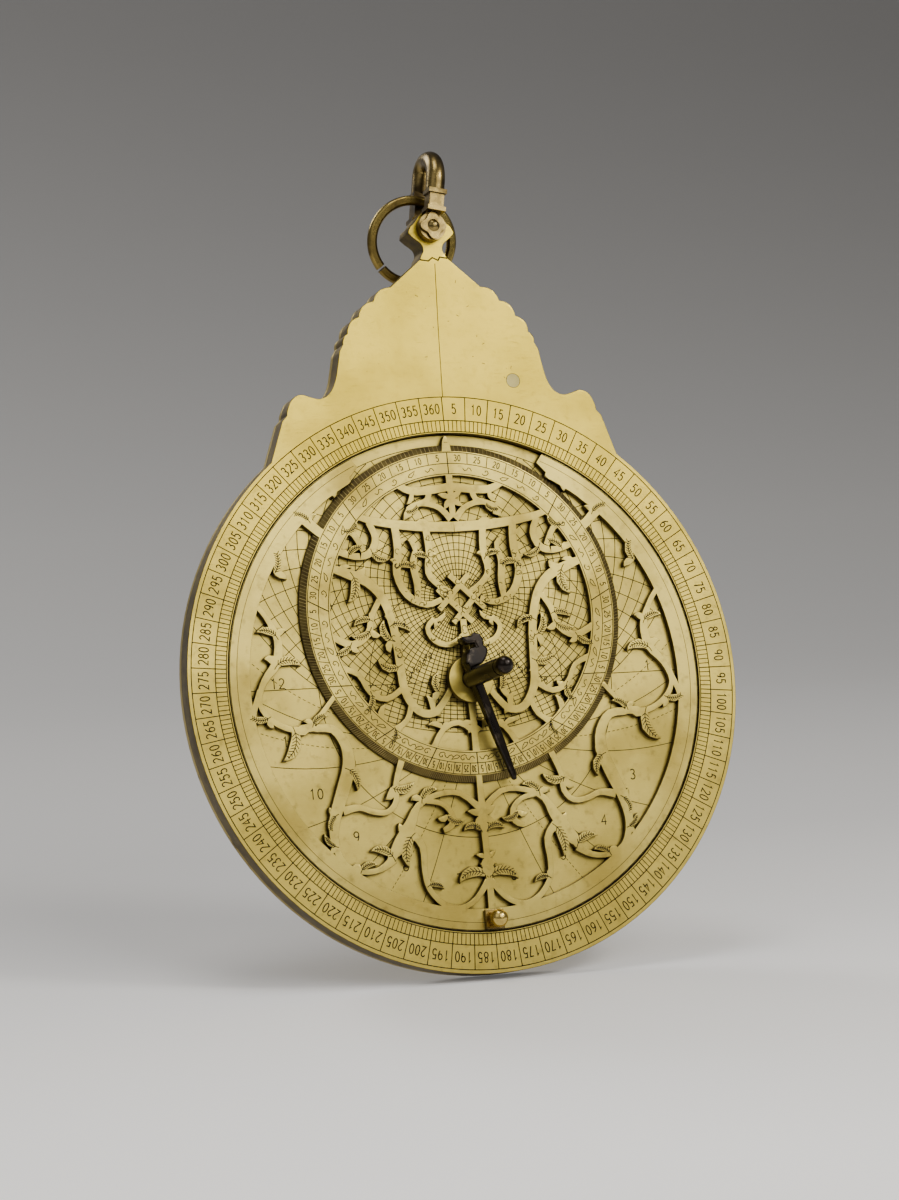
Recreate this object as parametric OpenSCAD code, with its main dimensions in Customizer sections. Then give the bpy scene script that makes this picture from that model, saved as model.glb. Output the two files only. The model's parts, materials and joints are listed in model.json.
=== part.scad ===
// Planispheric astrolabe: rim, back plate and throne, four climate plates, an openwork rete,
// a wedged centre pin, an alidade with two sights, and a shackle with its hanging ring.
// It is drawn upright: X to the right, Z up through the throne, Y away from the reader.
// Heights and widths are measured from the centre of the disc; the face of the rim is y = 0.

/* [Disc] */
// Diameter of the disc
disc_d = 171; // [150:1:195]
// Width of the graduated rim
limb_w = 12.1; // [9:0.1:15]
// Depth of the womb that holds the plates and the rete
womb_t = 6; // [5.8:0.1:8]
// Thickness of the back plate
back_t = 2; // [1.5:0.1:3]
// Diameter of the pegs that hold the rim to the back plate
peg_d = 3; // [2:0.1:4]
// Number of those pegs
peg_count = 8; // [4:1:16]
// Depth that a peg reaches into the rim
peg_in = 3.4; // [2:0.1:4.5]

/* [Climate plates] */
// Thickness of one climate plate
plate_t = 0.95; // [0.8:0.01:0.98]
// Width of the tab that keeps a plate from turning
tab_w = 6; // [4:0.5:10]
// Length of that tab
tab_l = 2.6; // [1.5:0.1:4]

/* [Rete] */
// Thickness of the rete
rete_t = 1.8; // [1.2:0.1:1.9]
// Width of the rete's outer band
band_w = 6.3; // [5:0.1:8]
// Half of the angle at the top where the outer band is left out
band_open = 27; // [20:1:32]
// Width of the zodiac ring
zodiac_w = 9.2; // [7.5:0.1:10.5]
// Width of the graduated bevel round the zodiac ring
bevel_w = 2; // [1:0.1:3]
// Depth of that bevel at the ring's edge
bevel_t = 1; // [0.4:0.1:1.2]
// Tilt of the ecliptic, which sets the size of the zodiac ring
obliquity = 23.5; // [23:0.1:24]
// Diameter of the rete's hub
hub_d = 13; // [11:0.5:16]
// Width of the openwork stems, as a share of the drawn width
stem_share = 1; // [0.8:0.05:1.2]

/* [Turning knob] */
// Diameter of the knob's ball
knob_d = 5.2; // [4:0.1:6]
// Side of the square collar under the knob
collar_w = 5.6; // [4:0.1:6]
// Thickness of that collar
collar_t = 1.3; // [0.8:0.1:2]
// Height of the knob's neck
knob_neck = 0.8; // [0.5:0.1:2]

/* [Centre pin and wedge] */
// Diameter of the centre pin
pin_d = 5.4; // [4:0.1:6.5]
// Length of the pin in front of the face
pin_out = 30; // [20:0.5:36]
// Diameter of the pin's head at the back
pin_head_d = 13; // [10:0.5:16]
// Thickness of the pin's head
pin_head_t = 2.6; // [2:0.1:4]
// Diameter of the front washer
washer_d = 13.8; // [12:0.1:16]
// Thickness of the front washer
washer_t = 1.5; // [1:0.1:2.5]
// Diameter of the back washer
back_washer_d = 16; // [13:0.5:20]
// Thickness of the wedge's blade
wedge_t = 2.6; // [1.6:0.1:2.8]
// Depth of the wedge at the pin
wedge_h = 4.8; // [4:0.1:6]
// Depth of the wedge at its tip
wedge_tip_h = 1.7; // [1.2:0.1:3]
// Length of the blade below the pin's axis
wedge_l = 32; // [26:0.5:36]
// Angle of the wedge from straight down
wedge_turn = 18.5; // [0:0.5:40]

/* [Alidade] */
// Length of the alidade
alidade_l = 164; // [120:1:168]
// Width of one arm
alidade_w = 8.5; // [7:0.1:11]
// Thickness of the bar
alidade_t = 2.6; // [2:0.1:3.5]
// Diameter of the boss at its centre
boss_d = 21; // [18:0.5:26]
// Distance of each sight from the centre
sight_at = 57; // [45:1:62]
// Height of a sight above the bar
sight_h = 14; // [10:0.5:18]
// Width of a sight
sight_w = 13; // [11:0.5:16]
// Thickness of a sight
sight_t = 1.6; // [1.2:0.1:2.2]
// Length of a sight's foot
sight_foot = 5; // [4:0.5:6]
// Diameter of the sighting holes
sight_hole_d = 1.4; // [1:0.1:2]
// Diameter of the rivets in the sights' feet
rivet_d = 1.6; // [1.2:0.1:2]

/* [Throne] */
// Half of the throne's width at its feet
throne_foot = 54.5; // [48:0.5:58]
// Height of the throne's neck above the centre of the disc
throne_neck = 126.2; // [120:0.2:132]
// Lean of the throne to the right
throne_lean = 1.9; // [0:0.1:3]
// Half of the neck's width
neck_half = 4.4; // [3.8:0.1:5]
// Height of the steps in the brazed joint at the neck
joint_step = 0.8; // [0:0.1:1.2]
// Diameter of the round plug in the throne
plug_d = 4.2; // [3:0.1:5]

/* [Finial and shackle] */
// Height of the finial above the neck
finial_h = 14.8; // [14:0.1:16]
// Half of the finial's width
finial_half = 7.3; // [6.8:0.1:7.6]
// Height of the shackle's axis above the neck
axis_up = 9.4; // [8.6:0.1:9.8]
// Diameter of the shackle's pin
axis_d = 2.8; // [2:0.1:3.4]
// Width of the shackle's legs
leg_w = 4.4; // [3.6:0.1:5]
// Thickness of the shackle's legs
leg_t = 4.9; // [4.2:0.1:5.4]
// Diameter of the foot of each leg
foot_d = 8.4; // [7.6:0.1:9]
// Thickness of the foot of each leg
foot_t = 2.6; // [2:0.1:3.4]
// Height of the shackle above its axis
shackle_h = 25.6; // [24:0.1:27]
// Thickness of the bow
bow_d = 5.6; // [4.6:0.1:5.8]
// Height of a collar on the legs
leg_collar_h = 1.3; // [0.8:0.1:2]
// Height of the front leg's upper collar above the pin
front_leg_h = 11; // [9:0.1:11.5]
// Height of the back leg's upper collar above the pin
back_leg_h = 13.6; // [9:0.1:15]
// Radius of the bow's back shoulder
back_bow_r = 4; // [3.6:0.1:6]
// How far a collar stands out of its leg
leg_collar_out = 0.6; // [0.3:0.1:1]
// Lean of the shackle to the right
shackle_lean = 10; // [0:0.5:15]

/* [Hanging ring] */
// Diameter of the ring to the middle of its wire
ring_d = 24.6; // [24:0.1:28]
// Thickness of the wire
wire_d = 3; // [2.4:0.1:3.2]
// Width of the wire across its flats
wire_flat = 2.7; // [2.2:0.1:2.9]
// Gap where the ring is split
split_w = 0.8; // [0.3:0.1:1.5]
// Angle by which the ring hangs back from the throne
ring_back = 15.7; // [15:0.1:20]
// Angle by which the ring hangs to the left
ring_left = 19.5; // [10:0.5:22]
// Height of the wire above the shackle's axis where it passes the shackle
ring_up = 9.8; // [9.4:0.1:10.4]

/* [Clearances] */
// Gap between flat faces that turn on each other
face_gap = 0.1; // [0.05:0.01:0.2]
// Gap round the plates and the rete in the womb
womb_gap = 0.3; // [0.2:0.05:0.4]
// Gap round a shaft in its hole
shaft_gap = 0.05; // [0.02:0.01:0.08]
// Gap round the wedge in its slot
slot_gap = 0.08; // [0.05:0.01:0.15]
// Gap between the shackle and the finial
leg_gap = 0.15; // [0.1:0.01:0.3]

/* [Hidden] */

brass = "#c9b46c";
old_brass = "#a08c4a";
steel = "#3b312b";
$fn = 96;
little = 0.01;
steps = 3;

// Disc, from the face of the rim (y = 0) to the back
disc_r = disc_d / 2;
limb_in = disc_r - limb_w;
back_y = womb_t + back_t;
plate_count = 4;
plate_r = limb_in - womb_gap;
plate_y = womb_t - plate_count * plate_t;
rete_r = limb_in - womb_gap;
rete_y = plate_y - face_gap - rete_t;
pin_hole_r = pin_d / 2 + shaft_gap;

// The sky's circles: the outer circle of the plates is the tropic of Capricorn
sky_r = 0.957 * rete_r;
equator_r = sky_r * tan((90 - obliquity) / 2);
cancer_r = equator_r * tan((90 - obliquity) / 2);
zodiac_r = (sky_r + cancer_r) / 2;
zodiac_up = (sky_r - cancer_r) / 2;

// The openwork is drawn for a rete of this radius
drawn_r = 73.1;
k = rete_r / drawn_r;
knob_at = rete_r - band_w / 2;

// Parts on the pin, front and back
washer_y = rete_y - face_gap - washer_t;
wedge_y = washer_y - slot_gap;
alidade_y = back_y + face_gap;
back_washer_t = 1;
back_washer_y = alidade_y + alidade_t + face_gap;
head_y = back_washer_y + back_washer_t + face_gap;
wedge_head = 14;

// Throne and finial
foot_z = sqrt(disc_r * disc_r - throne_foot * throne_foot);
neck_rise = throne_neck - foot_z;
lean_run = tan(throne_lean);
neck_x = neck_rise * lean_run;
axis_x = neck_x - 0.4;
axis_z = throne_neck + axis_up;
axis_y = back_y / 2;
leg_in = back_y / 2 + leg_gap;
leg_y = leg_in + leg_t / 2;
crown_y = leg_y - back_bow_r;
crown_z = shackle_h - bow_d / 2;
front_bow_r = leg_y + crown_y;
rosette_t = 0.9;
rosette_r = 3.5;
rosette_lobe = 0.6;
shank_z = rosette_r + rosette_lobe + leg_gap;

// The point where the part hangs: under the top of the bow
hang_up = shackle_h - bow_d;
hang = [
    axis_x + hang_up * sin(shackle_lean),
    axis_y + crown_y,
    axis_z + hang_up * cos(shackle_lean)
];

// Where the ring's wire passes between the legs
wire_at = [
    axis_x + ring_up * tan(shackle_lean),
    axis_y + leg_in - wire_d / 2 - 2 * leg_gap,
    axis_z + ring_up
];

// Points on a smooth curve through p
function between(a, b, c, d, t) =
    0.5 * (2 * b + (c - a) * t + (2 * a - 5 * b + 4 * c - d) * t * t + (3 * b - a - 3 * c + d) * t * t * t);
function smooth(p, n = steps) = let (last = len(p) - 1) concat(
    [for (i = [0:last - 1]) for (j = [0:n - 1])
        between(p[max(i - 1, 0)], p[i], p[i + 1], p[min(i + 2, last)], j / n)],
    [p[last]]
);
function flat(p) = [for (q = p) [q.x, q.y]];
function unit(v) = v / norm(v);
function turned_left(v) = [-v.y, v.x];
function backwards(p) = [for (i = [len(p) - 1:-1:0]) p[i]];
function mirrored(p) = [for (q = p) [-q.x, q.y]];

// The two edges of a stem whose points are [x, z, width]
function edge(p, side) = let (last = len(p) - 1) [for (i = [0:last])
    let (
        a = p[max(i - 1, 0)],
        b = p[min(i + 1, last)],
        across = turned_left(unit([b.x - a.x, b.y - a.y]))
    ) [p[i].x, p[i].y] + side * across * p[i].z * stem_share / 2];

// A stem through points [x, z, width]
module stem(points, n = steps) {
    p = smooth(points, n);
    polygon(concat(edge(p, 1), backwards(edge(p, -1))));
}

// A leaf from at, setting out at an angle and curving by bend; share is half its width
leaf_share = [[0, 0.2], [0.22, 0.4], [0.46, 0.5], [0.7, 0.38], [0.88, 0.17]];
module leaf(at, angle, length, width, bend = 40) {
    arc_r = length * 180 / (PI * bend);
    function on_arc(t, out) = let (turn = angle + bend * t) at
        + arc_r * [sin(turn) - sin(angle), cos(angle) - cos(turn)] + out * [-sin(turn), cos(turn)];
    polygon(concat(
        [for (s = leaf_share) on_arc(s[0], width * s[1])],
        [on_arc(1, 0)],
        [for (s = backwards(leaf_share)) on_arc(s[0], -width * s[1])]
    ));
}

// A split leaf: one long hooked lobe with a short one curling away on its outer side
hook_share = 1.5;
module split_leaf(at, angle, length, bend) {
    leaf(at, angle, length * 1.08, length * 0.36, bend * hook_share);
    leaf(at, angle - sign(bend) * 42, length * 0.62, length * 0.32, -bend * 1.6);
}

module both_sides() {
    children();
    mirror([1, 0]) children();
}

// A flat shape drawn on x and z, from depth y to y + t
module slab(y, t) translate([0, y + t, 0]) rotate([90, 0, 0]) linear_extrude(t) children();

module placed() translate(-hang) children();

// Outline of the throne: shoulders, a waist and scallops, drawn on a box of 1 by 1
side_points = [
    [0.897, 0.227], [0.892, 0.256], [0.862, 0.308], [0.811, 0.330], [0.758, 0.316],
    [0.705, 0.307], [0.653, 0.330], [0.615, 0.388], [0.592, 0.474], [0.578, 0.542]
];
cusps = [[0.556, 0.574], [0.527, 0.628], [0.457, 0.711], [0.367, 0.789], [0.262, 0.859]];
scallop_rise = 0.19;

// An arc from a to b that swells to the right of the way it goes
function scallop(a, b, n = 6) = let (m = (a + b) / 2, out = -turned_left(b - a))
    [for (i = [0:n - 1]) let (t = i / n) a + (b - a) * t + out * scallop_rise * 4 * t * (1 - t)];
function on_throne(p) = [p.x * throne_foot, foot_z + p.y * neck_rise];
function leaning(p) = [p.x + max(0, p.y - foot_z) * lean_run, p.y];
throne_side = [for (p = concat(
    [[1, -0.05], [1, 0], [0.925, 0.2]],
    flat(smooth([for (p = side_points) [p.x, p.y, 0]], 3))
)) on_throne(p)];
throne_scallops = [for (i = [0:len(cusps) - 2])
    each scallop(on_throne(cusps[i]), on_throne(cusps[i + 1]))];
throne_right = concat(throne_side, throne_scallops, [on_throne(cusps[len(cusps) - 1])]);

// The ragged line where the finial is brazed on, from right to left
neck_line = [for (p = [[1, 0.3], [0.45, 0.8], [0.3, -0.5], [-0.1, 0.6], [-0.4, -0.7], [-1, -0.2]])
    [neck_x + p.x * neck_half, throne_neck + p.y * joint_step]];

module throne_shape() polygon(concat(
    [for (p = throne_right) leaning(p)],
    neck_line,
    [for (p = backwards(mirrored(throne_right))) leaning(p)]
));

module mater_shape() {
    circle(disc_r, $fn = 180);
    throne_shape();
}

module at_plug() translate([23.4 * disc_r / 85.5, foot_z + 23]) children();

module peg_holes() for (i = [0:peg_count - 1])
    rotate(180 / peg_count + i * 360 / peg_count) translate([0, (disc_r + limb_in) / 2]) circle(d = peg_d);

// A notch in the rim's inner wall, behind the rete, takes the plates' tabs
module tab_shape(gap) translate([-tab_w / 2 - gap, -plate_r - tab_l - gap])
    square([tab_w + 2 * gap, tab_l + 10 + 2 * gap]);

module limb() color(brass) placed() difference() {
    slab(0, womb_t) difference() {
        mater_shape();
        circle(limb_in, $fn = 180);
        at_plug() circle(d = plug_d);
    }
    slab(womb_t - peg_in, peg_in + little) peg_holes();
    slab(plate_y - little, womb_t - plate_y + 2 * little) tab_shape(womb_gap);
}

module back_plate() color(brass) placed() slab(womb_t, back_t) difference() {
    mater_shape();
    circle(pin_hole_r);
    peg_holes();
    at_plug() circle(d = plug_d);
}

module limb_pegs() color(old_brass) placed() slab(womb_t - peg_in, peg_in + back_t) peg_holes();

module throne_plug() color(old_brass) placed() slab(0, back_y) at_plug() circle(d = plug_d);

// Finial: a three-pointed head on a short neck
function finial_right() = concat(
    [[neck_half, 0.3 * joint_step]],
    flat(smooth([
        [neck_half * 0.9, 1, 0], [neck_half * 0.7, 2.6, 0], [neck_half * 0.8, 4.6, 0],
        [finial_half * 0.78, finial_h * 0.43, 0], [finial_half, finial_h * 0.53, 0]
    ], 3)),
    flat(smooth([
        [finial_half * 0.98, finial_h * 0.58, 0], [finial_half * 0.92, finial_h * 0.66, 0],
        [finial_half * 0.72, finial_h * 0.74, 0], [finial_half * 0.56, finial_h * 0.84, 0],
        [finial_half * 0.34, finial_h * 0.95, 0], [0, finial_h, 0]
    ], 3))
);

module finial_shape() {
    right = finial_right();
    left = backwards(mirrored([for (i = [1:len(right) - 2]) right[i]]));
    at_neck = [for (p = concat(right, left)) p + [neck_x, throne_neck]];
    polygon(concat(at_neck, backwards(neck_line)));
}

module throne_finial() color(brass) placed() slab(0, back_y) difference() {
    finial_shape();
    translate([axis_x, axis_z]) circle(d = axis_d);
}

module at_axis(lean = 0) translate([axis_x, axis_y, axis_z]) rotate([0, lean, 0]) children();

rosette_in = leg_in + foot_t + face_gap;
rosette_out = rosette_in + rosette_t;

module shackle_pin() color(old_brass) placed() at_axis() {
    slab(-rosette_out - little, 2 * rosette_out + 2 * little) circle(d = axis_d);
    for (side = [-1, 1]) translate([0, side * rosette_out, 0]) rotate([-90 * side, 0, 0]) intersection() {
        translate([0, 0, -1.2]) sphere(d = 1.6 * axis_d, $fn = 48);
        cylinder(h = axis_d, d = 2 * axis_d);
    }
}

module rosette(y) color(brass) placed() at_axis() slab(y, rosette_t) difference() {
    polygon([for (a = [0:7.5:359]) (rosette_r + rosette_lobe * cos(4 * a)) * [sin(a), cos(a)]]);
    circle(d = axis_d);
}
module rosette_front() rosette(-rosette_out);
module rosette_back() rosette(rosette_in);

// One leg of the shackle: a drilled foot, a square shank between two collars, and a round bar
module shackle_leg(collar_top, bar_top) {
    slab(leg_in, foot_t) circle(d = foot_d);
    translate([-leg_w / 2, leg_in, 0]) cube([leg_w, foot_t, shank_z + 1]);
    translate([-leg_w / 2, leg_in, shank_z]) cube([leg_w, leg_t, collar_top - shank_z]);
    for (z = [shank_z, collar_top - leg_collar_h]) translate([-leg_w / 2 - leg_collar_out, leg_in, z])
        cube([leg_w + 2 * leg_collar_out, leg_t + leg_collar_out, leg_collar_h]);
    translate([0, leg_y, collar_top]) cylinder(h = bar_top - collar_top, d = bow_d, $fn = 48);
}

// A quarter turn of the bow, from its crown down to a leg in front
module bow_shoulder(r) translate([0, crown_y, crown_z - r]) rotate([0, -90, 0]) rotate([0, 0, -90])
    rotate_extrude(angle = 90) translate([r, 0]) circle(d = bow_d, $fn = 48);

module shackle() color(old_brass) placed() at_axis(shackle_lean) difference() {
    union() {
        mirror([0, 1, 0]) shackle_leg(front_leg_h, crown_z - front_bow_r);
        shackle_leg(back_leg_h, crown_z - back_bow_r);
        bow_shoulder(front_bow_r);
        translate([0, 2 * crown_y, 0]) mirror([0, 1, 0]) bow_shoulder(back_bow_r);
    }
    slab(-leg_y - leg_t, 2 * leg_y + 2 * leg_t) circle(d = axis_d + 2 * shaft_gap);
}

module suspension_ring() color(old_brass) placed()
    translate(wire_at) rotate([0, ring_left, 0]) rotate([ring_back, 0, 0]) translate([0, 0, -ring_d / 2])
        rotate([90, 0, 0]) difference() {
            rotate_extrude() translate([ring_d / 2, 0]) intersection() {
                circle(d = wire_d, $fn = 48);
                square([wire_d, wire_flat], center = true);
            }
            rotate(238) translate([ring_d / 2, 0, 0]) cube([2 * wire_d, split_w, 2 * wire_d], center = true);
        }

// Climate plates, the first in front
module climate_plate(i) color(brass) placed() slab(plate_y + (i - 1) * plate_t, plate_t) difference() {
    union() {
        circle(plate_r, $fn = 180);
        tab_shape(0);
    }
    circle(pin_hole_r);
}
module climate_plate_1() climate_plate(1);
module climate_plate_2() climate_plate(2);
module climate_plate_3() climate_plate(3);
module climate_plate_4() climate_plate(4);

// Rete, lower half: a stem from hub to band, with scrolls and leaves to each side
lower_stems = [
    [[42, -3, 1.4], [46.5, -8, 1.6], [49.5, -11.5, 2.2], [43.5, -12.2, 2.6], [40, -17, 3.2], [39.6, -23, 3.8],
     [42, -30, 4], [45.2, -38, 3.4], [45.9, -45, 2.4], [43.6, -51, 1.8], [38.6, -53.6, 1.6], [33, -53.3, 1.8],
     [28.6, -50.6, 2.8]],
    [[42.6, -36, 2.6], [37.6, -35.2, 1.9], [33.5, -36.7, 1.7], [29, -37, 1.7], [26.2, -34, 1.8], [25.8, -29, 1.7],
     [23.4, -22.5, 2]],
    [[30, -51.6, 2.2], [26.5, -46.3, 3.6], [22.6, -41, 3.4], [19.6, -35.8, 2], [13.6, -33, 1.7], [6.4, -33, 1.7],
     [0, -38.4, 2.2]],
    [[17, -34.6, 1.6], [12.5, -35.6, 1.5], [9.6, -38.6, 1.8], [9.9, -42, 2], [12.6, -43.4, 1.6]],
    [[22.6, -43.4, 2.4], [19.5, -47.6, 2.2], [19.6, -54.7, 1.7], [18.6, -60, 1.7], [14.6, -64.6, 1.8],
     [9.4, -66, 1.7], [4.4, -63.6, 1.7], [0.4, -58.6, 2]],
    [[66.4, 27, 1.2], [62.6, 24, 1.5], [59.6, 19.6, 1.7], [57.4, 14, 2.4], [58.4, 7.6, 2.8], [62.6, 2.4, 2],
     [64.6, -3.6, 1.6], [61.4, -8.8, 1.8], [55.4, -11.8, 1.8], [48.8, -11.6, 2]],
    [[64, 0, 1.8], [66.4, -6, 1.8], [68, -12, 2]]
];
// Leaves: place, angle, length and bend
lower_leaves = [
    [[40, -24], 205, 7, 60], [[44.6, -37], 330, 5.5, -50], [[27.2, -30], 215, 7.5, -60],
    [[18.4, -34.4], 100, 6.5, 70], [[11, -39], 250, 6, -70], [[22, -44], 320, 9.5, -50],
    [[28.6, -50.4], 65, 7.5, -60], [[58.6, 6.6], 130, 8, 70], [[55, -11.8], 250, 10, 60],
    [[62, -8], 330, 6, 50], [[57.6, 15], 60, 6.5, -60], [[1, -57], 40, 9, -70], [[1, -44], 60, 6, -80],
    [[45.5, -46], 20, 5, 40], [[18.8, -59], 150, 5, 60], [[56.6, 33.4], 130, 7, -45], [[44.6, 48.4], 60, 5.5, -50],
    [[49.2, -10.8], 110, 5.5, 60], [[38.8, -53.4], 120, 5.5, 60]
];

// Rete, inside the zodiac ring
inner_stems = [
    [[30.5, 49.5, 1.6], [24, 47.6, 2.4], [12, 45.9, 2.9], [-little, 45.4, 3.1]],
    [[17, 58.6, 1.8], [12.4, 56.4, 2.4], [6, 56.6, 2.6], [-little, 57.4, 2.4]],
    [[0, 46.4, 2.2], [3.8, 51, 1.8], [9.2, 52.6, 1.7], [13.6, 51.2, 1.6], [13.4, 48.6, 1.8]],
    [[6.6, 57, 2], [7.6, 53.6, 1.8], [10.4, 52.6, 1.7]],
    [[28.8, 39, 1.9], [31.4, 44, 1.8], [34.6, 45.4, 1.7]],
    [[13.6, 23.4, 1.7], [13.2, 28.6, 2.2], [13.9, 34.6, 2.3], [12.9, 38.4, 1.6]],
    [[9, 45.6, 2.2], [8.5, 38.5, 2.3], [9.4, 32, 2.1], [6.8, 28.4, 1.8], [3, 26, 1.7]],
    [[18.6, 46.8, 2.4], [18.2, 39, 2.5], [19.2, 32, 2.5], [16.6, 25.6, 2.3], [11, 22.6, 1.9], [6, 24, 1.7]],
    [[39.8, 34.6, 2], [34, 32.4, 3], [28.4, 29.8, 3], [24.2, 24.6, 2.7], [21.8, 16, 2.6], [21, 6, 2.6],
     [20.2, -2.6, 2.6], [16.6, -8.4, 2.5], [12, -9.2, 2.3], [8.6, -6.2, 2], [5.6, -2, 1.8]],
    [[26.6, 47.6, 2], [24.8, 42.8, 2.2], [27, 38.4, 2.3], [32, 37.6, 2], [38.6, 40, 2]],
    [[41, 14.4, 2], [35, 11.8, 2.2], [30, 14.6, 2.1], [28.2, 20, 1.8], [25.4, 24.6, 1.8]],
    [[20.6, -1.4, 1.8], [26, -4.4, 1.8], [31, -2.2, 1.7], [34, 3, 1.6], [39.4, 5.4, 1.9]],
    [[0, -15.4, 1.8], [4.6, -12.4, 1.7], [9.6, -14.2, 1.7], [13.4, -19.8, 1.8]],
    [[18.6, -6.4, 1.8], [20.6, -11, 1.7], [25, -13.2, 1.7], [28, -10.6, 1.7]],
    [[0, 13.4, 1.8], [4.6, 10.6, 1.8], [9.4, 11.8, 1.7], [11.4, 15.6, 1.6], [9, 18.4, 1.6]]
];
inner_leaves = [
    [[14.8, 50.4], 200, 5, -60], [[8.8, 36], 60, 5.5, -70], [[18.8, 34], 140, 6, 70], [[33, 32.2], 240, 8.5, 60],
    [[33.6, 37.8], 110, 5.5, 60], [[22.4, 17], 150, 6.5, 70], [[29, 16], 300, 6.5, 60], [[21, 5], 330, 7, 60],
    [[12.6, -9.2], 120, 5.5, -60], [[30.6, -2.6], 250, 6, 60], [[9.6, -14], 60, 5, -60], [[27.8, -11], 60, 5.5, 60],
    [[35.4, 11.9], 300, 6, 50], [[9, 18], 190, 4.5, -60], [[26.4, 39], 250, 6, -60], [[12, 45.9], 120, 4.5, 60],
    [[9.4, -3.4], 40, 6.5, 70], [[22.6, 12.4], 20, 7, 70], [[34.4, 45.2], 200, 5.5, -70], [[12.4, 56.4], 250, 4.5, 60],
    [[13, 37.6], 110, 5, -60], [[24.4, -13], 250, 5, 60], [[37.4, 32.8], 110, 5, 70], [[28.4, 18.6], 30, 6, -60]
];

// Interlaced lozenge above the hub
knot_up = 24;
knot_half = 8.6;
knot_bar = 1.7;
module knot() translate([0, knot_up]) rotate(45) for (s = [-1, 1]) {
    translate([s * knot_half / 3, 0]) square([knot_bar, 2 * knot_half / sqrt(1.4)], center = true);
    translate([0, s * knot_half / 3]) square([2 * knot_half / sqrt(1.4), knot_bar], center = true);
}

module flower(up, size) for (a = [25, 90, 155, 225, 315]) leaf([0, up], a, size, size * 0.42, 20);

module openwork() scale(k) {
    both_sides() {
        for (s = concat(lower_stems, inner_stems)) stem(s);
        for (l = concat(lower_leaves, inner_leaves)) split_leaf(l[0], l[1], l[2], l[3]);
    }
    stem([[0, 5, 2.6], [0, 10, 2], [0, 18, 2]]);
    stem([[0, -5, 2.2], [0, -13, 2], [0, -24, 2.4]]);
    stem([[0, -28, 1.8], [0, -40, 2.2], [0, -55, 1.9], [0, -69, 2.4]]);
    flower(-39.6, 5);
    flower(-13, 3.6);
    flower(-52, 3.6);
    flower(54, 4.4);
    stem([[0, 47, 2], [0, 52, 2], [0, 63, 2.2]]);
    stem([[0, 68, 3], [0, 71, 2.2], [0, 72.6, 0.6]], 2);
    knot();
}

// The outer band stops short of the top, in a wavy end that joins the zodiac ring
module band_end() scale(k) {
    stem([[29.6, 65.6, 4.4], [34.5, 61.8, 6.4], [39.5, 57.6, 5.6], [44.6, 52.6, 4.6]]);
    stem([[47.5, 50.5, 3.4], [42.5, 45.6, 2.8], [38, 42.5, 3]]);
    leaf([37.6, 60], 235, 5.4, 3, 40);
    leaf([33.8, 62.4], 240, 4.6, 2.8, -40);
}

module outer_band() difference() {
    circle(rete_r, $fn = 180);
    circle(rete_r - band_w, $fn = 180);
    polygon([[0, 0], rete_r * 1.3 * [-sin(band_open), cos(band_open)], [0, rete_r * 1.4],
        rete_r * 1.3 * [sin(band_open), cos(band_open)]]);
}

module zodiac_ring() translate([0, rete_y, zodiac_up]) rotate([-90, 0, 0]) rotate_extrude($fn = 180) polygon([
    [zodiac_r - zodiac_w, 0], [zodiac_r - bevel_w, 0], [zodiac_r, bevel_t],
    [zodiac_r, rete_t], [zodiac_r - zodiac_w, rete_t]
]);

// The openwork as one flat outline, kept inside the rete's circle
module rete_shape() {
    outer_band();
    circle(hub_d / 2);
    offset(delta = little) intersection() {
        circle(rete_r - 2 * little, $fn = 180);
        union() {
            openwork();
            both_sides() band_end();
        }
    }
}

module rete() color(brass) placed() difference() {
    union() {
        slab(rete_y, rete_t) rete_shape();
        zodiac_ring();
    }
    slab(rete_y - little, rete_t + 2 * little) {
        circle(pin_hole_r);
        translate([0, -knob_at]) circle(d = knob_shank_d);
    }
}

// Turning knob: a ball on a square collar, riveted through the band
knob_shank_d = 2;
knob_y = rete_y - collar_t - knob_neck - 0.45 * knob_d;
module at_knob() translate([0, 0, -knob_at]) children();

module knob_collar() color(old_brass) placed() at_knob() slab(rete_y - collar_t, collar_t) difference() {
    square(collar_w, center = true);
    circle(d = knob_shank_d);
}

module turning_knob() color(brass) placed() at_knob() {
    slab(knob_y, rete_y + rete_t - knob_y) circle(d = knob_shank_d);
    slab(knob_y, rete_y - collar_t - knob_y) circle(d = 0.6 * knob_d);
    translate([0, knob_y, 0]) sphere(d = knob_d, $fn = 64);
}

// Centre pin: head at the back, slot for the wedge, rounded end with a groove
slot_front = wedge_y - wedge_h - slot_gap;
module centre_pin() color(steel) placed() difference() {
    union() {
        slab(-pin_out + pin_d / 2, pin_out - pin_d / 2 + head_y + little) circle(d = pin_d);
        translate([0, -pin_out + pin_d / 2, 0]) sphere(d = pin_d, $fn = 96);
        slab(head_y, pin_head_t * 0.6) circle(d = pin_head_d);
        slab(head_y + pin_head_t * 0.6 - little, pin_head_t * 0.4) circle(d = pin_head_d * 0.8);
    }
    rotate([0, -wedge_turn, 0]) translate([-wedge_t / 2 - slot_gap, slot_front, -pin_d])
        cube([wedge_t + 2 * slot_gap, washer_y - slot_front, 2 * pin_d]);
    slab(-pin_out + pin_d * 0.85, 0.6) difference() {
        circle(d = pin_d + 1);
        circle(d = pin_d - 0.7);
    }
}

module front_washer() color(brass) placed() slab(washer_y, washer_t) difference() {
    circle(d = washer_d);
    circle(r = pin_hole_r);
}

module back_washer() color(old_brass) placed() slab(back_washer_y, back_washer_t) difference() {
    circle(d = back_washer_d);
    circle(r = pin_hole_r);
}

// Wedge: a tapered blade through the pin, with a stepped horse's head above it
blade_top = 4;
blade_slope = (wedge_h - wedge_tip_h) / (wedge_l + blade_top);
function blade_h(down) = wedge_h - blade_slope * (down + blade_top);

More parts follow.
